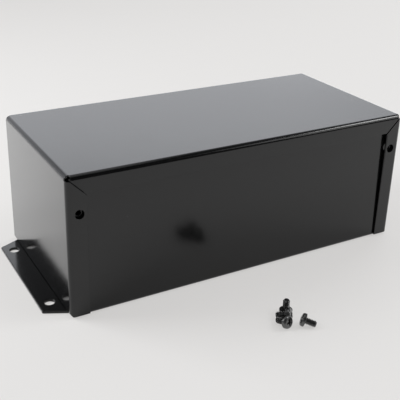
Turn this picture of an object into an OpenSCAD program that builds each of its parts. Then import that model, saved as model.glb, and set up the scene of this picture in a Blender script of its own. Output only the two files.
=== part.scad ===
// Two-piece folded sheet enclosure: a flanged cover that drops over a channel-shaped base
// with mounting flanges. The four cover screws lie loose in front of it.
// Millimetres, +X along the front, +Y to the back, +Z up.
// The origin is the middle of the base's underside.

/* [Enclosure] */
// Width over the cover's two sides
case_w = 203.2; // [120:0.1:400]
// Depth over the cover's front and back flanges
case_d = 95.25; // [70:0.05:250]
// Height of the closed enclosure above the surface it stands on
case_h = 76.2; // [45:0.1:200]

/* [Cover] */
// Thickness of the cover's sheet
cover_t = 1.3; // [0.8:0.1:1.6]
// Outside radius of the cover's folds
cover_bend_r = 2.5; // [1.9:0.1:4]
// Width of the flanges folded in round the cover's open front and back
flange_w = 10; // [9:0.25:18]
// Opening between two flanges at a mitred corner
mitre_gap = 0.6; // [0.3:0.1:1.5]
// Diameter of the relief hole where three folds meet
relief_d = 2.2; // [1.2:0.1:4]
// Height of the flanges' lower ends above the surface
flange_lift = 1; // [0.1:0.1:1.4]
// Height above the surface at which the flanges' lower corners are clipped
corner_clip = 2; // [1.6:0.1:4]

/* [Base] */
// Thickness of the base's sheet
base_t = 1.6; // [0.8:0.1:1.8]
// Outside radius of the base's folds
base_bend_r = 2; // [2:0.1:5]
// Angle by which the front and back panels lean in at the top
panel_lean = 0.9; // [0:0.1:2]
// Clearance between the cover's flanges and the panels at the folds
panel_gap = 0.25; // [0.1:0.05:1]
// Clearance between the cover's sides and the ends of the panels
side_gap = 0.7; // [0.4:0.1:2]
// Clearance between the cover's top and the upper edges of the panels
top_gap = 0.5; // [0.3:0.1:3]

/* [Mounting flanges] */
// Reach of each mounting flange beyond the cover's side
mount_reach = 10.8; // [8:0.1:25]
// Set-back of a mounting flange from the cover's front and back, at the cover's side
mount_root_inset = 6.75; // [6:0.25:15]
// Set-back of a mounting flange from the cover's front and back, at its outer edge
mount_end_inset = 11.75; // [8:0.25:20]
// Radius of the mounting flanges' outer corners
mount_corner_r = 0.8; // [0.2:0.1:2]
// Diameter of the mounting holes
mount_hole_d = 5.2; // [3:0.1:6]
// Distance of the mounting holes from the cover's side
mount_hole_out = 4.9; // [4:0.1:6]
// Distance of the mounting holes from the cover's front and back
mount_hole_inset = 18; // [16:0.5:30]

/* [Cover screws] */
// Distance of the screws from the cover's side
screw_in = 6.25; // [5:0.25:7]
// Distance of the screws below the cover's top
screw_down = 19.75; // [14:0.25:28]
// Diameter of the screw holes in the cover
screw_hole_d = 4.75; // [3.8:0.05:5]
// Diameter of the pilot holes in the base
pilot_d = 2.8; // [2:0.1:3.2]
// Outside diameter of the screws' thread
thread_d = 3.5; // [3:0.1:3.6]
// Length of a screw under its head
screw_len = 5.6; // [4.5:0.1:6.5]
// Chamfer at a screw's tip
tip_chamfer = 0.4; // [0.1:0.1:0.8]
// Diameter of the screw heads
head_d = 6.7; // [6:0.1:6.8]
// Height of the screw heads
head_h = 2.2; // [1.8:0.1:3]
// Radius of the screw heads' rounded edge
head_edge_r = 1.3; // [0.5:0.1:1.6]
// Width of the cross recess in a head
recess_w = 0.9; // [0.6:0.1:1.2]
// Length of the cross recess in a head
recess_l = 3.6; // [2.5:0.1:4]
// Depth of the cross recess in a head
recess_depth = 1.2; // [0.8:0.1:1.4]

/* [Where the loose screws lie] */
// Place of the screw that stands on its head, from the middle of the cover's front face
standing_at = [-4, -42.4];
// Distance between the axes of neighbouring screws in the row that starts there
pile_pitch = 6.1; // [6.1:0.1:9]
// Direction in which the row's second screw points, from +X towards +Y
second_turn = 133; // [100:1:170]
// Shift of the second screw along its direction, from abreast of the standing one
second_shift = -1.8; // [-4:0.1:-1.8]
// Angle by which the row's third screw points away from the second
third_turn = -27; // [-27:1:0]
// Shift of the third screw along the second's direction, from abreast of the second
third_shift = -0.6; // [-2:0.1:-0.6]
// Place of the screw that lies alone, from the standing one
lone_at = [1.8, -13.45];
// Direction in which the lone screw points, from +X towards +Y
lone_turn = -42; // [-80:1:30]

/* [Hidden] */
$fn = 64;
cut_margin = 1;

base_w = case_w - 2 * (cover_t + side_gap);
panel_face_y = case_d / 2 - cover_t - panel_gap;
fold_y = panel_face_y - base_bend_r;
panel_top = case_h - cover_t - top_gap;
panel_len = (panel_top - base_bend_r - base_bend_r * sin(panel_lean)) / cos(panel_lean);

mount_x = case_w / 2 + mount_reach;
mount_slope = (mount_end_inset - mount_root_inset) / mount_reach;
mount_end_y = case_d / 2 - mount_end_inset;
mount_root_y = case_d / 2 - mount_root_inset + mount_slope * (case_w - base_w) / 2;
mount_holes = [for (x = [-1, 1], y = [-1, 1])
    [x * (case_w / 2 + mount_hole_out), y * (case_d / 2 - mount_hole_inset)]];

screw_x = case_w / 2 - screw_in;
screw_z = case_h - screw_down;
head_r = head_d / 2;
thread_r = thread_d / 2;
lying_tilt = atan((head_r - thread_r) / screw_len);

// Sheet with its upper corners rounded, seen along the fold
module arch(w, h, r) {
    translate([-w / 2, 0])
        square([w, h - r]);
    translate([-w / 2 + r, 0])
        square([w - 2 * r, h]);
    for (side = [-1, 1])
        translate([side * (w / 2 - r), h - r])
            circle(r = r);
}

// Plan with all four corners rounded
module rounded_plan(w, d, r) {
    square([w - 2 * r, d], center = true);
    square([w, d - 2 * r], center = true);
    for (x = [-1, 1], y = [-1, 1])
        translate([x * (w / 2 - r), y * (d / 2 - r)])
            circle(r = r);
}

// Solid block whose upper edges and upright edges are all folded to the same radius
module folded_block(w, d, h, r) {
    intersection() {
        linear_extrude(h)
            rounded_plan(w, d, r);
        rotate([90, 0, 0])
            linear_extrude(d, center = true)
                arch(w, h, r);
        rotate([90, 0, 90])
            linear_extrude(w, center = true)
                arch(d, h, r);
    }
}

// Opening between the flanges, through the cover's front and back
module cover_windows() {
    window_w = case_w - 2 * flange_w;
    window_h = case_h - flange_w;
    translate([-window_w / 2, -case_d / 2 - cut_margin, -cut_margin])
        cube([window_w, case_d + 2 * cut_margin, window_h + cut_margin]);
}

// Slit that parts the top flange from a side flange, with the relief hole at its outer end
module mitre_cut() {
    slit_l = norm([flange_w, flange_w]) + cut_margin;
    slit_d = cover_bend_r + cut_margin;
    relief_tilt = atan(sqrt(2));
    translate([case_w / 2 - flange_w, -case_d / 2 - cut_margin, case_h - flange_w])
        rotate([0, -45, 0])
            translate([-cut_margin / 2, 0, -mitre_gap / 2])
                cube([slit_l, slit_d, mitre_gap]);
    translate([case_w / 2 - cover_bend_r, -case_d / 2 + cover_bend_r, case_h - cover_bend_r])
        rotate([0, relief_tilt, -45])
            cylinder(d = relief_d, h = 2 * cover_bend_r);
}

// What a side of the cover leaves off at its lower edge, so that it stops on the base
module side_foot_cut() {
    translate([case_w / 2 - cover_t - cut_margin / 2, -case_d / 2 + cover_bend_r, -cut_margin])
        cube([cover_t + cut_margin, case_d - 2 * cover_bend_r, base_t + cut_margin]);
}

// Lower end of a side flange, which runs down past the base's fold, with its corner clipped
module flange_foot_cut() {
    clip_rise = (corner_clip - flange_lift) / cover_bend_r;
    translate([case_w / 2, -case_d / 2 + cover_bend_r, 0])
        rotate([90, 0, 0])
            linear_extrude(cover_bend_r + cut_margin)
                polygon([
                    [cut_margin, -cut_margin],
                    [cut_margin, corner_clip + clip_rise * cut_margin],
                    [-cover_bend_r, flange_lift],
                    [-flange_w - cut_margin, flange_lift],
                    [-flange_w - cut_margin, -cut_margin]
                ]);
}

// Holes on the four screw lines, through front and back
module screw_bores(d) {
    for (x = [-1, 1])
        translate([x * screw_x, 0, screw_z])
            rotate([90, 0, 0])
                cylinder(d = d, h = case_d + 2 * cut_margin, center = true);
}

module cover() {
    color([0.05, 0.05, 0.055])
        difference() {
            folded_block(case_w, case_d, case_h, cover_bend_r);
            translate([0, 0, -cut_margin])
                folded_block(
                    case_w - 2 * cover_t,
                    case_d - 2 * cover_t,
                    case_h - cover_t + cut_margin,
                    cover_bend_r - cover_t
                );
            cover_windows();
            screw_bores(screw_hole_d);
            for (mx = [0, 1])
                mirror([mx, 0, 0]) {
                    side_foot_cut();
                    for (my = [0, 1])
                        mirror([0, my, 0]) {
                            flange_foot_cut();
                            mitre_cut();
                        }
                }
        }
}

// Fold and upright panel at the back of the base, seen along the fold
module panel_section() {
    wedge = 2 * base_bend_r;
    translate([fold_y, base_bend_r]) {
        intersection() {
            difference() {
                circle(r = base_bend_r);
                circle(r = base_bend_r - base_t);
            }
            polygon([[0, 0], [0, -wedge], [wedge, -wedge], [wedge, wedge * tan(panel_lean)]]);
        }
        rotate(panel_lean)
            translate([base_bend_r - base_t, 0])
                square([base_t, panel_len]);
    }
}

module base_section() {
    translate([-fold_y, 0])
        square([2 * fold_y, base_t]);
    for (side = [0, 1])
        mirror([side, 0])
            panel_section();
}

// What rounding takes off one outer corner of a mounting flange
module mount_corner_offcut() {
    corner = [mount_x, mount_end_y];
    inner_angle = 90 + atan(mount_slope);
    tangent = mount_corner_r / tan(inner_angle / 2);
    along_end = [-cos(atan(mount_slope)), sin(atan(mount_slope))];
    touch_side = corner - [0, tangent];
    touch_end = corner + tangent * along_end;
    centre = touch_side - [mount_corner_r, 0];
    difference() {
        polygon([corner, touch_end, centre, touch_side]);
        translate(centre)
            circle(r = mount_corner_r);
    }
}

// Floor of the base with the mounting flanges that reach out under the cover's sides
module mounting_plate() {
    quarter = [[base_w / 2, mount_root_y], [mount_x, mount_end_y]];
    difference() {
        polygon([
            quarter[0],
            quarter[1],
            [quarter[1].x, -quarter[1].y],
            [quarter[0].x, -quarter[0].y],
            [-quarter[0].x, -quarter[0].y],
            [-quarter[1].x, -quarter[1].y],
            [-quarter[1].x, quarter[1].y],
            [-quarter[0].x, quarter[0].y]
        ]);
        for (mx = [0, 1], my = [0, 1])
            mirror([mx, 0])
                mirror([0, my])
                    mount_corner_offcut();
    }
}

module base() {
    color([0.06, 0.06, 0.065])
        difference() {
            union() {
                rotate([90, 0, 90])
                    linear_extrude(base_w, center = true)
                        base_section();
                linear_extrude(base_t)
                    mounting_plate();
            }
            for (hole = mount_holes)
                translate([hole.x, hole.y, -cut_margin])
                    cylinder(d = mount_hole_d, h = base_t + 2 * cut_margin);
            screw_bores(pilot_d);
        }
}

// Pan-head screw: underside of the head at z = 0, thread upwards
module screw() {
    difference() {
        rotate_extrude() {
            translate([0, -head_h + head_edge_r])
                square([head_r, head_h - head_edge_r]);
            translate([0, -head_h])
                square([head_r - head_edge_r, head_h]);
            intersection() {
                translate([head_r - head_edge_r, head_edge_r - head_h])
                    circle(r = head_edge_r);
                translate([0, -head_h])
                    square([head_r, head_h]);
            }
            polygon([
                [0, -head_edge_r],
                [thread_r, -head_edge_r],
                [thread_r, screw_len - tip_chamfer],
                [thread_r - tip_chamfer, screw_len],
                [0, screw_len]
            ]);
        }
        for (turn = [0, 90])
            rotate(turn)
                translate([-recess_l / 2, -recess_w / 2, -head_h - cut_margin])
                    cube([recess_l, recess_w, recess_depth + cut_margin]);
    }
}

// Screw on its side, resting on its head's rim and its tip
module lying_screw(at, turn) {
    translate([at.x, at.y, head_r * cos(lying_tilt)])
        rotate([0, 90 + lying_tilt, turn])
            screw();
}

module cover_screws() {
    along = [cos(second_turn), sin(second_turn)];
    abreast = pile_pitch * [-along.y, along.x];
    standing = [standing_at.x, -case_d / 2 + standing_at.y];
    second = standing + abreast + second_shift * along;
    third = second + abreast + third_shift * along;
    color([0.09, 0.09, 0.09]) {
        translate([standing.x, standing.y, head_h])
            screw();
        lying_screw(second, second_turn);
        lying_screw(third, second_turn + third_turn);
        lying_screw(standing + lone_at, lone_turn);
    }
}

base();
cover();
cover_screws();
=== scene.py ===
import math

import bmesh
import bpy
from mathutils import Matrix, Vector


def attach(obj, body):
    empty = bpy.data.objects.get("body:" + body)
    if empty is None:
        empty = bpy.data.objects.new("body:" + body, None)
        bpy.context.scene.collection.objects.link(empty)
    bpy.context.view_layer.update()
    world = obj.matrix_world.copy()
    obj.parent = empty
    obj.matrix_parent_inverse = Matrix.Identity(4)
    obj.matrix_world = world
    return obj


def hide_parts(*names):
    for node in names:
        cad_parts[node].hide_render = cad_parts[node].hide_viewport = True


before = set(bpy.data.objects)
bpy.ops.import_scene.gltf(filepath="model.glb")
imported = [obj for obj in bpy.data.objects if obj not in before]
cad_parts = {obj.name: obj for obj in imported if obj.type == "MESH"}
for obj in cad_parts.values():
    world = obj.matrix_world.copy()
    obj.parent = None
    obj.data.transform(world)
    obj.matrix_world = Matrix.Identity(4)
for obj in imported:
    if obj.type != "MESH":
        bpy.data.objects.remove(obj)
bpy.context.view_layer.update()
print("frame loaded:", ", ".join(sorted(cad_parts)))

mm = 0.001  # the pieces are drawn in millimetres and scaled at the end
xAxis, yAxis, zAxis = Vector((1, 0, 0)), Vector((0, 1, 0)), Vector((0, 0, 1))


# Camera at the photo's angle

shot = {
    "place": (-0.20557, -0.34455, 0.21593),
    "turn": 29.58,  # degrees from +Y towards +X
    "down": 23.09,
    "roll": 1.47,
    "sensor": 36,
    "lens": 68.01,
    "shift": (0.02375, -0.08625),
    "reach": (0.01, 20),
}


def makeCamera():
    turn, down, roll = (math.radians(shot[k]) for k in ("turn", "down", "roll"))
    look = Vector((
        math.sin(turn) * math.cos(down),
        math.cos(turn) * math.cos(down),
        -math.sin(down),
    ))
    level = Vector((math.cos(turn), -math.sin(turn), 0))
    up = level.cross(look)
    right = level * math.cos(roll) + up * math.sin(roll)
    up = up * math.cos(roll) - level * math.sin(roll)
    lensData = bpy.data.cameras.new("camera")
    lensData.sensor_width = shot["sensor"]
    lensData.lens = shot["lens"]
    lensData.shift_x, lensData.shift_y = shot["shift"]
    lensData.clip_start, lensData.clip_end = shot["reach"]
    camera = bpy.data.objects.new("camera", lensData)
    turned = Matrix((right, up, -look)).transposed().to_4x4()
    camera.matrix_world = Matrix.Translation(shot["place"]) @ turned
    bpy.context.scene.collection.objects.link(camera)
    bpy.context.scene.camera = camera


makeCamera()
print("camera set")


# Tools for cutting and joining sheet

snapGap = 1e-4  # mm, for points that a cut keeps to
mergeGap = 1e-3  # mm, for points that are merged
nearGap = 0.05  # mm, for points that count as on a face or a line
squareOn = 0.999  # cosine from which a face counts as square to an axis
slightLean = 0.01  # share of a normal from which a face counts as leaning that way
seamTurn = 0.05  # radians that keep a hole's first point off the seam of the angle
cutAngle = 40  # degrees from which an edge counts as cut


def cutAcross(bm, faces, point, normal):
    edges = {e for f in faces for e in f.edges}
    verts = {v for f in faces for v in f.verts}
    bmesh.ops.bisect_plane(
        bm, geom=[*verts, *edges, *faces], dist=snapGap, plane_co=point, plane_no=normal
    )


def facing(bm, axis):
    return [f for f in bm.faces if abs(f.normal.dot(axis)) > squareOn]


def leans(f, axis):
    return abs(f.normal.dot(axis)) > slightLean


def takeOut(bm, faces):
    bmesh.ops.delete(bm, geom=faces, context="FACES")


def faceAround(bm, point, axis):
    for f in facing(bm, axis):
        onFace = abs((point - f.verts[0].co).dot(f.normal)) < nearGap
        if onFace and bmesh.geometry.intersect_face_point(f, point):
            return f


# A square is cut free round the hole and joined to the hole's rim by a ring of quads
def punchHole(bm, centre, axis, across, diameter, halfPatch, steps=32):
    along = axis.cross(across)
    for side in (across, -across, along, -along):
        cutAcross(bm, [faceAround(bm, centre, axis)], centre + side * halfPatch, side)
    patch = faceAround(bm, centre, axis)
    patchSides = list(patch.edges)
    bmesh.ops.delete(bm, geom=[patch], context="FACES_ONLY")
    bmesh.ops.subdivide_edges(bm, edges=patchSides, cuts=steps // 4 - 1)
    reach = halfPatch + mergeGap

    def onPatch(v):
        gap = v.co - centre
        inSquare = abs(gap.dot(across)) < reach and abs(gap.dot(along)) < reach
        return inSquare and abs(gap.dot(axis)) < nearGap

    def around(v):
        gap = v.co - centre
        return (math.atan2(gap.dot(along), gap.dot(across)) + seamTurn) % math.tau

    square = [e for e in bm.edges if e.is_boundary and all(onPatch(v) for v in e.verts)]
    turned = Matrix((across, along, axis)).transposed().to_4x4()
    rim = bmesh.ops.create_circle(
        bm, cap_ends=False, radius=diameter / 2, segments=steps,
        matrix=Matrix.Translation(centre) @ turned,
    )["verts"]
    outer = sorted({v for e in square for v in e.verts}, key=around)
    inner = sorted(rim, key=around)
    for i in range(steps):
        bm.faces.new((outer[i - 1], outer[i], inner[i], inner[i - 1]))


def turnOut(bm, axis, sign):
    bmesh.ops.remove_doubles(bm, verts=bm.verts, dist=mergeGap)
    bmesh.ops.recalc_face_normals(bm, faces=bm.faces)
    widest = max(facing(bm, axis), key=lambda f: f.calc_area())
    if widest.normal.dot(axis) * sign < 0:
        bmesh.ops.reverse_faces(bm, faces=bm.faces)


def makeObject(name, bm, material):
    bmesh.ops.scale(bm, vec=(mm, mm, mm), verts=bm.verts)
    mesh = bpy.data.meshes.new(name)
    bm.to_mesh(mesh)
    bm.free()
    mesh.shade_smooth()
    mesh.materials.append(material)
    piece = bpy.data.objects.new(name, mesh)
    bpy.context.scene.collection.objects.link(piece)
    return piece


# Gives a sheet surface its thickness, inwards, and breaks the cut edges
def thicken(piece, sheet, edge, foot=0):
    wall = piece.modifiers.new("sheet", "SOLIDIFY")
    wall.thickness = sheet * mm
    wall.offset = -1
    wall.use_even_offset = True
    wall.use_quality_normals = True
    rounded = (("roundedFoot", foot, "WEIGHT", 4), ("brokenEdges", edge, "ANGLE", 3))
    for name, width, limit, steps in rounded:
        if width:
            broken = piece.modifiers.new(name, "BEVEL")
            broken.width = width * mm
            broken.segments = steps
            broken.limit_method = limit
            broken.angle_limit = math.radians(cutAngle)
            broken.use_clamp_overlap = False
    flat = piece.modifiers.new("flatFaces", "WEIGHTED_NORMAL")
    flat.weight = 100
    flat.keep_sharp = True


# Materials

waveDepth, peelDepth = 0.001, 0.0001  # metres
glossSpan = (0.3, 0.7)  # part of the gloss noise that is spread over a coat's roughness
bareCells = 0.8  # share of the dust's cells that hold no speck


def newGroup(name, inputs, outputs):
    group = bpy.data.node_groups.new(name, "ShaderNodeTree")
    for way, sockets in (("INPUT", inputs), ("OUTPUT", outputs)):
        for label, kind in sockets:
            group.interface.new_socket(label, in_out=way, socket_type="NodeSocket" + kind)
    return group


def addNode(tree, kind, **settings):
    node = tree.nodes.new("ShaderNode" + kind)
    for key, value in settings.items():
        if hasattr(node, key):
            setattr(node, key, value)
        else:
            node.inputs[key].default_value = value
    return node


# Orange peel of the coat, soft waves of the sheet and slow changes of gloss
def makeCoatGroup():
    tree = newGroup(
        "coatSurface",
        [("Place", "Vector"), ("Peel scale", "Float"), ("Wave scale", "Float")],
        [("Peel", "Float"), ("Wave", "Float"), ("Gloss", "Float")],
    )
    start = tree.nodes.new("NodeGroupInput")
    end = tree.nodes.new("NodeGroupOutput")
    peel = addNode(tree, "TexNoise", Detail=3.0, Roughness=0.55)
    wave = addNode(tree, "TexNoise", Detail=1.0, Roughness=0.4)
    gloss = addNode(tree, "TexNoise", Scale=60.0, Detail=5.0, Roughness=0.6)
    for label, node in (("Peel", peel), ("Wave", wave), ("Gloss", gloss)):
        tree.links.new(start.outputs["Place"], node.inputs["Vector"])
        tree.links.new(node.outputs["Fac"], end.inputs[label])
    tree.links.new(start.outputs["Peel scale"], peel.inputs["Scale"])
    tree.links.new(start.outputs["Wave scale"], wave.inputs["Scale"])
    return tree


# Sparse specks of dust
def makeDustGroup():
    tree = newGroup(
        "dustSpecks",
        [("Place", "Vector"), ("Spacing", "Float"), ("Size", "Float")],
        [("Specks", "Float")],
    )
    start = tree.nodes.new("NodeGroupInput")
    end = tree.nodes.new("NodeGroupOutput")
    cells = addNode(tree, "TexVoronoi")
    tree.links.new(start.outputs["Place"], cells.inputs["Vector"])
    tree.links.new(start.outputs["Spacing"], cells.inputs["Scale"])
    pick = addNode(tree, "SeparateColor")
    tree.links.new(cells.outputs["Color"], pick.inputs["Color"])
    chosen = addNode(tree, "Math", operation="GREATER_THAN")
    tree.links.new(pick.outputs["Red"], chosen.inputs[0])
    chosen.inputs[1].default_value = bareCells
    close = addNode(tree, "Math", operation="LESS_THAN")
    tree.links.new(cells.outputs["Distance"], close.inputs[0])
    tree.links.new(start.outputs["Size"], close.inputs[1])
    both = addNode(tree, "Math", operation="MULTIPLY")
    tree.links.new(chosen.outputs[0], both.inputs[0])
    tree.links.new(close.outputs[0], both.inputs[1])
    tree.links.new(both.outputs[0], end.inputs["Specks"])
    return tree


coatGroup = makeCoatGroup()
dustGroup = makeDustGroup()


def makeCoat(name, look):
    material = bpy.data.materials.new(name)
    material.use_nodes = True
    tree = material.node_tree
    shader = tree.nodes["Principled BSDF"]
    shader.inputs["IOR"].default_value = look["ior"]
    place = addNode(tree, "TexCoord")
    coat = tree.nodes.new("ShaderNodeGroup")
    coat.node_tree = coatGroup
    coat.inputs["Peel scale"].default_value = look["peelScale"]
    coat.inputs["Wave scale"].default_value = look["waveScale"]
    dust = tree.nodes.new("ShaderNodeGroup")
    dust.node_tree = dustGroup
    dust.inputs["Spacing"].default_value = look["dustSpacing"]
    dust.inputs["Size"].default_value = look["dustSize"]
    for node in (coat, dust):
        tree.links.new(place.outputs["Object"], node.inputs["Place"])

    rough = addNode(tree, "MapRange")
    rough.inputs["From Min"].default_value, rough.inputs["From Max"].default_value = glossSpan
    rough.inputs["To Min"].default_value, rough.inputs["To Max"].default_value = look["roughness"]
    tree.links.new(coat.outputs["Gloss"], rough.inputs["Value"])
    tree.links.new(rough.outputs["Result"], shader.inputs["Roughness"])

    shade = addNode(tree, "Mix", data_type="RGBA")
    for socket, colour in zip(("A", "B"), look["colours"]):
        shade.inputs[socket].default_value = (*colour, 1)
    tree.links.new(coat.outputs["Gloss"], shade.inputs["Factor"])
    dusty = addNode(tree, "Mix", data_type="RGBA")
    dusty.inputs["B"].default_value = (*look["dustColour"], 1)
    tree.links.new(shade.outputs["Result"], dusty.inputs["A"])
    tree.links.new(dust.outputs["Specks"], dusty.inputs["Factor"])
    tree.links.new(dusty.outputs["Result"], shader.inputs["Base Color"])

    waves = addNode(tree, "Bump", Strength=look["wave"], Distance=waveDepth)
    peel = addNode(tree, "Bump", Strength=look["peel"], Distance=peelDepth)
    tree.links.new(coat.outputs["Wave"], waves.inputs["Height"])
    tree.links.new(coat.outputs["Peel"], peel.inputs["Height"])
    tree.links.new(waves.outputs["Normal"], peel.inputs["Normal"])
    tree.links.new(peel.outputs["Normal"], shader.inputs["Normal"])
    return material


blackPaint = makeCoat("blackPaint", {
    "colours": ((0.0018, 0.0018, 0.0019), (0.003, 0.003, 0.0031)),
    "roughness": (0.14, 0.17),
    "ior": 1.35,
    "peelScale": 1400.0,
    "peel": 0.05,
    "waveScale": 18.0,
    "wave": 0.02,
    "dustSpacing": 130.0,
    "dustSize": 0.03,
    "dustColour": (0.3, 0.3, 0.3),
})
blackOxide = makeCoat("blackOxide", {
    "colours": ((0.005, 0.005, 0.005), (0.012, 0.0115, 0.011)),
    "roughness": (0.2, 0.32),
    "ior": 1.7,
    "peelScale": 3000.0,
    "peel": 0.15,
    "waveScale": 300.0,
    "wave": 0.0,
    "dustSpacing": 500.0,
    "dustSize": 0.02,
    "dustColour": (0.2, 0.2, 0.2),
})
print("finishes mixed")


# Cover: top, sides and inward flanges folded from one sheet

cover = {
    "width": 203.2,
    "depth": 95.25,
    "height": 76.2,
    "sheet": 1.0,
    "bend": 2.5,
    "bendSteps": 12,
    "flange": 10.0,
    "mitre": 0.6,
    "lift": 1.0,  # lower ends of the flanges
    "sideFoot": 1.9,  # lower edges of the sides, a hair above the base
    "clip": (1.1, 2.3),  # how far in and how high the flanges' lower corners are clipped
    "screwIn": 6.25,
    "screwDown": 19.75,
    "screwHole": 4.75,
    "holePatch": 3.3,
    "edge": 0.18,
    "foot": 0.42,  # rounding of the sides' lower edges
}


def makeCover():
    c = cover
    w, d, h, r = c["width"] / 2, c["depth"] / 2, c["height"], c["bend"]
    tall = h - c["lift"]
    bm = bmesh.new()
    bmesh.ops.create_cube(bm, size=1)
    bmesh.ops.scale(bm, vec=(2 * w, 2 * d, tall), verts=bm.verts)
    bmesh.ops.translate(bm, vec=(0, 0, c["lift"] + tall / 2), verts=bm.verts)
    takeOut(bm, [f for f in facing(bm, zAxis) if f.normal.z < 0])
    bmesh.ops.bevel(
        bm,
        geom=[e for e in bm.edges if not e.is_boundary],
        offset=r,
        offset_type="OFFSET",
        segments=c["bendSteps"],
        profile=0.5,
        affect="EDGES",
        material=-1,
    )

    # The corner where three folds meet is notched out
    def inCorner(f):
        p = f.calc_center_median()
        return abs(p.x) > w - r and abs(p.y) > d - r and p.z > h - r

    takeOut(bm, [f for f in bm.faces if inCorner(f)])

    # Open front and back
    inner, head = w - c["flange"], h - c["flange"]
    for point, normal in (
        (Vector((inner, 0, 0)), xAxis),
        (Vector((-inner, 0, 0)), xAxis),
        (Vector((0, 0, head)), zAxis),
    ):
        cutAcross(bm, facing(bm, yAxis), point, normal)

    def inWindow(f):
        p = f.calc_center_median()
        return abs(p.x) < inner and p.z < head

    takeOut(bm, [f for f in facing(bm, yAxis) if inWindow(f)])

    # Mitred slits between the flanges
    for side in (-1, 1):
        knee = Vector((side * inner, 0, head))
        across = Vector((side, 0, -1)).normalized()
        half = c["mitre"] / 2
        for shift in (-half, half):
            bent = [f for f in bm.faces if leans(f, yAxis)]
            cutAcross(bm, bent, knee + across * shift, across)

        def inSlit(f):
            p = f.calc_center_median() - knee
            outside = p.x * side > -c["mitre"] and p.z > -c["mitre"]
            return leans(f, yAxis) and outside and abs(p.dot(across)) < half

        takeOut(bm, [f for f in bm.faces if inSlit(f)])

    # The sides stop above the base, the flanges run down past its fold, with clipped corners
    cutAcross(bm, facing(bm, xAxis), Vector((0, 0, c["sideFoot"])), zAxis)
    takeOut(bm, [f for f in facing(bm, xAxis) if f.calc_center_median().z < c["sideFoot"]])
    weight = bm.edges.layers.float.new("bevel_weight_edge")
    for e in bm.edges:
        if all(abs(v.co.z - c["sideFoot"]) < mergeGap for v in e.verts):
            e[weight] = 1.0
    clipIn, clipUp = c["clip"]
    for side in (-1, 1):
        foot = Vector((side * w, 0, clipUp))
        slant = Vector((-side * (clipUp - c["lift"]), 0, clipIn)).normalized()

        def inFold(f):
            upright = leans(f, xAxis) and leans(f, yAxis) and not leans(f, zAxis)
            return upright and f.calc_center_median().x * side > 0

        def isLow(f):
            return (f.calc_center_median() - foot).dot(slant) < 0

        cutAcross(bm, [f for f in bm.faces if inFold(f)], foot, slant)
        takeOut(bm, [f for f in bm.faces if inFold(f) and isLow(f)])

    for x in (-1, 1):
        for y in (-1, 1):
            centre = Vector((x * (w - c["screwIn"]), y * d, h - c["screwDown"]))
            punchHole(bm, centre, yAxis, xAxis, c["screwHole"], c["holePatch"])

    turnOut(bm, zAxis, 1)
    return makeObject("cover_sheet", bm, blackPaint)


coverSheet = makeCover()
thicken(coverSheet, cover["sheet"], cover["edge"], cover["foot"])
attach(coverSheet, "cover_body")
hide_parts("cover")
print("cover folded:", len(coverSheet.data.polygons), "faces")


# Base: floor, front and back panels, mounting flanges

base = {
    "width": 199.2,
    "foldY": 44.45,  # where the folds of the panels begin
    "sheet": 1.6,
    "bend": 2.0,
    "bendSteps": 12,
    "lean": 0.95,  # degrees by which the panels lean in
    "panelTop": 74.4,
    "mountX": 112.4,
    "mountSideY": 40.875,  # where the flanges' slanted ends pass the cover's sides
    "mountEndY": 35.875,
    "mountCorner": 0.5,
    "mountCornerSteps": 5,
    "mountHole": 5.2,
    "mountHoleAt": (106.5, 29.625),
    "mountPatch": 3.6,
    "pilot": 2.8,
    "pilotAt": (95.35, 56.45),
    "pilotPatch": 3.0,
    "edge": 0.35,
}


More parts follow.
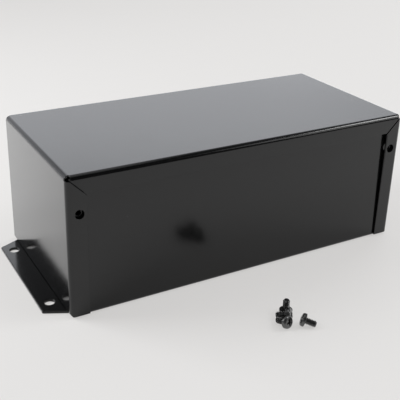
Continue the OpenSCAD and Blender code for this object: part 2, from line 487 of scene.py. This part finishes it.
def makeBase():
    b = base
    r, turn = b["bend"], math.radians(90 + b["lean"])
    endX, sideX = b["width"] / 2, cover["width"] / 2
    slope = (b["mountSideY"] - b["mountEndY"]) / (b["mountX"] - sideX)
    rootY = b["mountSideY"] + slope * (sideX - endX)
    bm = bmesh.new()
    bmesh.ops.create_grid(bm, x_segments=1, y_segments=1, size=1)
    bmesh.ops.scale(bm, vec=(endX, b["foldY"], 1), verts=bm.verts)

    # Mounting flanges, drawn out of the floor's ends
    for side in (-1, 1):
        cutAcross(bm, facing(bm, zAxis), Vector((0, side * rootY, 0)), yAxis)
    for side in (-1, 1):

        def atEnd(v):
            return abs(v.co.x - side * endX) < nearGap and abs(v.co.y) < rootY + nearGap

        ends = [e for e in bm.edges if all(atEnd(v) for v in e.verts)]
        drawn = bmesh.ops.extrude_edge_only(bm, edges=ends)["geom"]
        corners = [g for g in drawn if isinstance(g, bmesh.types.BMVert)]
        for v in corners:
            v.co = Vector((side * b["mountX"], math.copysign(b["mountEndY"], v.co.y), 0))
        bmesh.ops.bevel(
            bm,
            geom=corners,
            offset=b["mountCorner"],
            offset_type="OFFSET",
            segments=b["mountCornerSteps"],
            profile=0.5,
            affect="VERTICES",
            material=-1,
        )

    # Panels, folded up and leaning in a little
    for side in (-1, 1):

        def onFold(v):
            return abs(v.co.y - side * b["foldY"]) < nearGap

        fold = [e for e in bm.edges if all(onFold(v) for v in e.verts)]
        swept = bmesh.ops.spin(
            bm,
            geom=[*fold, *{v for e in fold for v in e.verts}],
            cent=(0, side * b["foldY"], r),
            axis=(side, 0, 0),
            angle=turn,
            steps=b["bendSteps"],
        )["geom_last"]
        rim = [g for g in swept if isinstance(g, bmesh.types.BMEdge)]
        drawn = bmesh.ops.extrude_edge_only(bm, edges=rim)["geom"]
        upper = [g for g in drawn if isinstance(g, bmesh.types.BMVert)]
        rise = (b["panelTop"] - upper[0].co.z) / math.sin(turn)
        lift = Vector((0, side * math.cos(turn), math.sin(turn))) * rise
        bmesh.ops.translate(bm, vec=lift, verts=upper)

    turnOut(bm, zAxis, -1)
    holeX, holeY = b["mountHoleAt"]
    pilotX, pilotZ = b["pilotAt"]
    footY = b["foldY"] + r * math.sin(turn)
    footZ = r - r * math.cos(turn)
    pilotY = footY + (pilotZ - footZ) / math.tan(turn)
    for x in (-1, 1):
        for y in (-1, 1):
            hole = Vector((x * holeX, y * holeY, 0))
            punchHole(bm, hole, zAxis, xAxis, b["mountHole"], b["mountPatch"])
            pilot = Vector((x * pilotX, y * pilotY, pilotZ))
            panelNormal = Vector((0, y * math.sin(turn), -math.cos(turn)))
            punchHole(bm, pilot, panelNormal, xAxis, b["pilot"], b["pilotPatch"])
    turnOut(bm, zAxis, -1)
    return makeObject("base_sheet", bm, blackPaint)


baseSheet = makeBase()
thicken(baseSheet, base["sheet"], base["edge"])
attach(baseSheet, "base_body")
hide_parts("base")
print("base folded:", len(baseSheet.data.polygons), "faces")


# Cover screws: pan heads with a cross recess, and a real thread

screws = {
    "headD": 6.7,
    "headH": 2.2,
    "headEdge": 1.3,
    "headChamfer": 0.12,
    "headHub": 0.4,  # radius inside which the head's underside is filled
    "headSteps": 40,
    "recessWide": 0.9,
    "recessLong": 3.6,
    "recessDeep": 1.2,
    "recessTaper": 0.55,
    "threadD": 3.5,
    "coreD": 2.65,
    "pitch": 0.794,
    "thread": ((0, 0), (0.25, 0), (0.56, 1), (0.69, 1), (1, 0)),  # shares of the pitch and the depth
    "turnSteps": 28,
    "spareTurns": 2,  # cut off again at the ends
    "length": 5.6,
    "rootDeep": 0.3,  # how far the thread runs into the head
    "tipStep": 0.1,
    "tipTaper": 0.9,
    "sharp": 32,  # degrees from which an edge is drawn sharp
    "standing": (-4.0, -90.025),
    "pilePitch": 6.1,  # between the axes of neighbours in the row that starts there
    "secondTurn": 133,  # degrees from +X towards +Y
    "secondShift": -1.8,  # along the second screw, from abreast of the standing one
    "thirdTurn": -27,  # away from the second
    "thirdShift": -0.6,
    "loneAt": (1.8, -13.45),  # from the standing one
    "loneTurn": -42,
}


def chainOf(bm, points):
    verts = [bm.verts.new(p) for p in points]
    edges = [bm.edges.new(pair) for pair in zip(verts, verts[1:])]
    return [*verts, *edges]


def makeHead(bm):
    s = screws
    rim, edge, low, chamfer = s["headD"] / 2, s["headEdge"], -s["headH"], s["headChamfer"]
    arc = [
        (rim - edge + edge * math.sin(a), 0, low + edge - edge * math.cos(a))
        for a in (math.radians(t) for t in range(0, 91, 10))
    ]
    underside = [(rim, 0, -chamfer), (rim - chamfer, 0, 0), (s["headHub"], 0, 0)]
    bmesh.ops.spin(
        bm,
        geom=chainOf(bm, [*arc, *underside]),
        axis=zAxis,
        cent=(0, 0, 0),
        angle=math.tau,
        steps=s["headSteps"],
        use_merge=True,
    )
    bmesh.ops.remove_doubles(bm, verts=bm.verts, dist=mergeGap)
    hub = [e for e in bm.edges if e.is_boundary and e.verts[0].co.z > -nearGap]
    bmesh.ops.holes_fill(bm, edges=hub, sides=0)
    rimEdges = [e for e in bm.edges if e.is_boundary]

    # Cross recess, sunk and tapered, from a grid with lines at 1 and 1/3
    before = set(bm.verts)
    bmesh.ops.create_grid(bm, x_segments=3, y_segments=3, size=1, matrix=Matrix.Translation((0, 0, low)))
    grid = [v for v in bm.verts if v not in before]
    arm, reach = s["recessWide"] / 2, s["recessLong"] / 2
    for v in grid:
        for i in (0, 1):
            v.co[i] = math.copysign(reach if abs(v.co[i]) > 0.5 else arm, v.co[i])

    def inCross(f):
        p = f.calc_center_median()
        return min(abs(p.x), abs(p.y)) < arm

    cells = {f for v in grid for f in v.link_faces}
    takeOut(bm, [f for f in cells if not inCross(f)])
    cells = {f for v in grid if v.is_valid for f in v.link_faces}
    crossEdges = [e for f in cells for e in f.edges if e.is_boundary]
    sunk = bmesh.ops.extrude_edge_only(bm, edges=crossEdges)["geom"]
    lower = [g for g in sunk if isinstance(g, bmesh.types.BMVert)]
    bmesh.ops.translate(bm, vec=(0, 0, s["recessDeep"]), verts=lower)
    bmesh.ops.scale(bm, vec=(s["recessTaper"], s["recessTaper"], 1), verts=lower)
    bmesh.ops.delete(bm, geom=list(cells), context="FACES_ONLY")
    stray = [e for e in bm.edges if not e.link_faces and e not in rimEdges and e not in crossEdges]
    bmesh.ops.delete(bm, geom=stray, context="EDGES")

    def onFace(e):
        return abs(e.verts[0].co.z - low) < nearGap

    crossEdges = [e for e in bm.edges if e.is_boundary and e not in rimEdges and onFace(e)]
    bmesh.ops.triangle_fill(bm, use_beauty=True, use_dissolve=False, edges=[*rimEdges, *crossEdges])
    bmesh.ops.holes_fill(bm, edges=[e for e in bm.edges if e.is_boundary], sides=0)


def makeShank(bm):
    s = screws
    core, crest, pitch, spare = s["coreD"] / 2, s["threadD"] / 2, s["pitch"], s["spareTurns"]
    turns = math.ceil(s["length"] / pitch) + spare
    profile = [
        (core + (crest - core) * depth, 0, (along - spare) * pitch)
        for along, depth in s["thread"]
    ]
    bmesh.ops.spin(
        bm,
        geom=chainOf(bm, profile),
        axis=zAxis,
        cent=(0, 0, 0),
        dvec=zAxis * pitch / s["turnSteps"],
        angle=math.tau * turns,
        steps=s["turnSteps"] * turns,
    )
    bmesh.ops.remove_doubles(bm, verts=bm.verts, dist=mergeGap)
    for z, outer in ((s["length"], True), (-s["rootDeep"], False)):
        bmesh.ops.bisect_plane(
            bm,
            geom=[*bm.verts, *bm.edges, *bm.faces],
            dist=snapGap,
            plane_co=(0, 0, z),
            plane_no=zAxis,
            clear_outer=outer,
            clear_inner=not outer,
        )

    # The tip tapers
    for v in bm.verts:
        widest = core - s["tipStep"] + max(0, s["length"] - v.co.z) * s["tipTaper"]
        out = math.hypot(v.co.x, v.co.y)
        if out > widest:
            v.co.x, v.co.y = v.co.x * widest / out, v.co.y * widest / out
    bmesh.ops.holes_fill(bm, edges=[e for e in bm.edges if e.is_boundary], sides=0)


# One stands on its head, the others lie on the head's rim and the tip
def placeScrews():
    s = screws
    headR = s["headD"] / 2
    tilt = math.atan((headR - s["threadD"] / 2) / s["length"])
    secondTurn = math.radians(s["secondTurn"])
    along = Vector((math.cos(secondTurn), math.sin(secondTurn)))
    abreast = Vector((-along.y, along.x)) * s["pilePitch"]
    standing = Vector(s["standing"])
    second = standing + abreast + along * s["secondShift"]
    third = second + abreast + along * s["thirdShift"]
    lone = standing + Vector(s["loneAt"])
    places = [Matrix.Translation((*standing, s["headH"]))]
    for at, turn in (
        (second, s["secondTurn"]),
        (third, s["secondTurn"] + s["thirdTurn"]),
        (lone, s["loneTurn"]),
    ):
        spun = Matrix.Rotation(math.radians(turn), 4, "Z") @ Matrix.Rotation(math.pi / 2 + tilt, 4, "Y")
        places.append(Matrix.Translation((*at, headR * math.cos(tilt))) @ spun)
    return places


def makeScrews():
    one = bmesh.new()
    makeHead(one)
    shank = bmesh.new()
    makeShank(shank)
    whole = bpy.data.meshes.new("screwParts")
    shank.to_mesh(whole)
    one.from_mesh(whole)
    shank.free()
    bmesh.ops.recalc_face_normals(one, faces=one.faces)
    one.to_mesh(whole)
    one.free()

    bm = bmesh.new()
    for place in placeScrews():
        before = set(bm.verts)
        bm.from_mesh(whole)
        bmesh.ops.transform(bm, matrix=place, verts=[v for v in bm.verts if v not in before])
    bpy.data.meshes.remove(whole)
    piece = makeObject("cover_screws_loose", bm, blackOxide)
    piece.data.set_sharp_from_angle(angle=math.radians(screws["sharp"]))
    return piece


looseScrews = makeScrews()
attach(looseScrews, "base_body")
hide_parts("cover_screws")
print("screws turned:", len(looseScrews.data.polygons), "faces")


# Floor, light and background

studio = {
    "floorSize": 3.0,
    "floorDrop": 0.02,  # mm under the part
    "floorSeen": (0.25, 0.25, 0.25),  # for the camera
    "floorLit": (0.97, 0.97, 0.97),  # for light that goes on to the part
    "floorGlow": (0.494, 0.485, 0.477),  # added for the camera, so that shadows stay soft
    "floorMirrored": 0.66,  # share of that glow which glossy surfaces show
    "sky": (0.80, 0.80, 0.81),
    "fill": 0.35,
    "windowColour": (0.935, 0.955, 1.0),
    # As glossy surfaces show them: brightness by height, 1 overhead, and by degrees from +Y to +X
    "windows": {
        "back": {
            "glow": 3.08,
            "rise": (
                (0.0, 1.0), (0.1, 0.9), (0.26, 0.54), (0.39, 0.86), (0.5, 0.76), (0.57, 0.7),
                (0.66, 0.28), (1.0, 0.28),
            ),
            "turn": (
                (-110, 0.15), (-45, 0.42), (-24, 0.15), (-13, 0.36), (11, 1.0), (36, 1.0),
                (66, 0.45), (90, 0.15), (140, 0.04),
            ),
        },
        "left": {
            "glow": 1.54,
            "rise": (
                (0.0, 1.0), (0.1, 0.8), (0.2, 0.57), (0.33, 0.6), (0.4, 0.55), (0.46, 0.0), (1.0, 0.0),
            ),
            "turn": ((-65, 0.0), (-40, 0.8), (-28, 1.0), (-14, 1.0), (0, 0.3), (12, 0.0)),
        },
    },
    "aim": (0, 0, 0.05),
    "lamps": {
        "leftBox": {"place": (-0.54, 0.34, 0.45), "size": (0.42, 0.42), "glow": 8.7},
        "frontBox": {"place": (0.75, -0.6, 0.6), "size": (0.5, 0.5), "glow": 2.8},
        "rightBox": {"place": (0.74, -0.3, 0.78), "size": (0.3, 0.17), "glow": 16.0},
        "backBox": {"place": (0.95, 0.55, 0.75), "size": (0.6, 0.6), "glow": 4.0, "mirrored": False},
        "ceiling": {"place": (0.0, 0.1, 1.6), "size": (1.3, 1.3), "glow": 0.8},
    },
}


def makeFloor():
    bm = bmesh.new()
    bmesh.ops.create_grid(bm, x_segments=1, y_segments=1, size=studio["floorSize"] / 2 / mm)
    bmesh.ops.translate(bm, vec=(0, 0, -studio["floorDrop"]), verts=bm.verts)
    material = bpy.data.materials.new("paleFloor")
    material.use_nodes = True
    tree = material.node_tree
    shader = tree.nodes["Principled BSDF"]
    shader.inputs["Specular IOR Level"].default_value = 0  # matt
    ray = addNode(tree, "LightPath")
    shade = addNode(tree, "Mix", data_type="RGBA")
    shade.inputs["A"].default_value = (*studio["floorLit"], 1)
    shade.inputs["B"].default_value = (*studio["floorSeen"], 1)
    tree.links.new(ray.outputs["Is Camera Ray"], shade.inputs["Factor"])
    tree.links.new(shade.outputs["Result"], shader.inputs["Base Color"])
    shader.inputs["Emission Color"].default_value = (*studio["floorGlow"], 1)
    glow = addNode(tree, "Math", operation="MULTIPLY_ADD")
    tree.links.new(ray.outputs["Is Glossy Ray"], glow.inputs[0])
    glow.inputs[1].default_value = studio["floorMirrored"]
    tree.links.new(ray.outputs["Is Camera Ray"], glow.inputs[2])
    tree.links.new(glow.outputs[0], shader.inputs["Emission Strength"])
    floor = makeObject("floor", bm, material)


def addRamp(tree, stops):
    ramp = addNode(tree, "ValToRGB")
    ramp.color_ramp.interpolation = "EASE"
    points = ramp.color_ramp.elements
    while len(points) < len(stops):
        points.new(1.0)
    for point, (place, level) in zip(points, stops):
        point.position, point.color = place, (level, level, level, 1)
    return ramp


def makeWorld():
    world = bpy.data.worlds.new("studio")
    bpy.context.scene.world = world
    world.use_nodes = True
    tree = world.node_tree
    tree.nodes.clear()
    ray = addNode(tree, "LightPath")
    sky = addNode(tree, "Background")
    sky.inputs["Color"].default_value = (*studio["sky"], 1)
    fill = addNode(tree, "Background", Strength=studio["fill"])
    fill.inputs["Color"].default_value = (1, 1, 1, 1)

    way = addNode(tree, "TexCoord")
    parts = addNode(tree, "SeparateXYZ")
    tree.links.new(way.outputs["Generated"], parts.inputs[0])
    turn = addNode(tree, "Math", operation="ARCTAN2")
    tree.links.new(parts.outputs["X"], turn.inputs[0])
    tree.links.new(parts.outputs["Y"], turn.inputs[1])
    span = addNode(tree, "MapRange")
    tree.links.new(turn.outputs[0], span.inputs["Value"])
    span.inputs["From Min"].default_value, span.inputs["From Max"].default_value = -math.pi, math.pi
    window = addNode(tree, "Background")
    window.inputs["Color"].default_value = (*studio["windowColour"], 1)
    level = window.inputs["Strength"]
    for pane in studio["windows"].values():
        rise = addRamp(tree, pane["rise"])
        across = addRamp(tree, [(0.5 + angle / 360, share) for angle, share in pane["turn"]])
        tree.links.new(parts.outputs["Z"], rise.inputs[0])
        tree.links.new(span.outputs["Result"], across.inputs[0])
        both = addNode(tree, "Math", operation="MULTIPLY")
        tree.links.new(rise.outputs["Color"], both.inputs[0])
        tree.links.new(across.outputs["Color"], both.inputs[1])
        summed = addNode(tree, "Math", operation="MULTIPLY_ADD")
        tree.links.new(both.outputs[0], summed.inputs[0])
        summed.inputs[1].default_value = pane["glow"]
        summed.inputs[2].default_value = 0
        tree.links.new(summed.outputs[0], level)
        level = summed.inputs[2]

    # Glossy surfaces show the windows, the camera the sky, and the fill lights the rest
    gloss = addNode(tree, "MixShader")
    tree.links.new(ray.outputs["Is Glossy Ray"], gloss.inputs["Fac"])
    tree.links.new(fill.outputs[0], gloss.inputs[1])
    tree.links.new(window.outputs[0], gloss.inputs[2])
    seen = addNode(tree, "MixShader")
    tree.links.new(ray.outputs["Is Camera Ray"], seen.inputs["Fac"])
    tree.links.new(gloss.outputs[0], seen.inputs[1])
    tree.links.new(sky.outputs[0], seen.inputs[2])
    end = addNode(tree, "OutputWorld")
    tree.links.new(seen.outputs[0], end.inputs["Surface"])


def addLamp(name, lamp):
    data = bpy.data.lights.new(name, "AREA")
    data.shape = "RECTANGLE"
    wide, tall = lamp["size"]
    data.size, data.size_y = wide, tall
    data.energy = lamp["glow"] * math.pi * wide * tall  # watts for that brightness of the panel
    box = bpy.data.objects.new(name, data)
    box.location = lamp["place"]
    way = Vector(studio["aim"]) - Vector(lamp["place"])
    box.rotation_euler = way.to_track_quat("-Z", "Y").to_euler()
    box.visible_camera = False
    box.visible_glossy = lamp.get("mirrored", True)
    bpy.context.scene.collection.objects.link(box)


makeFloor()
makeWorld()
for name, lamp in studio["lamps"].items():
    addLamp(name, lamp)
bpy.context.scene.view_settings.view_transform = "Standard"
print("studio lit")
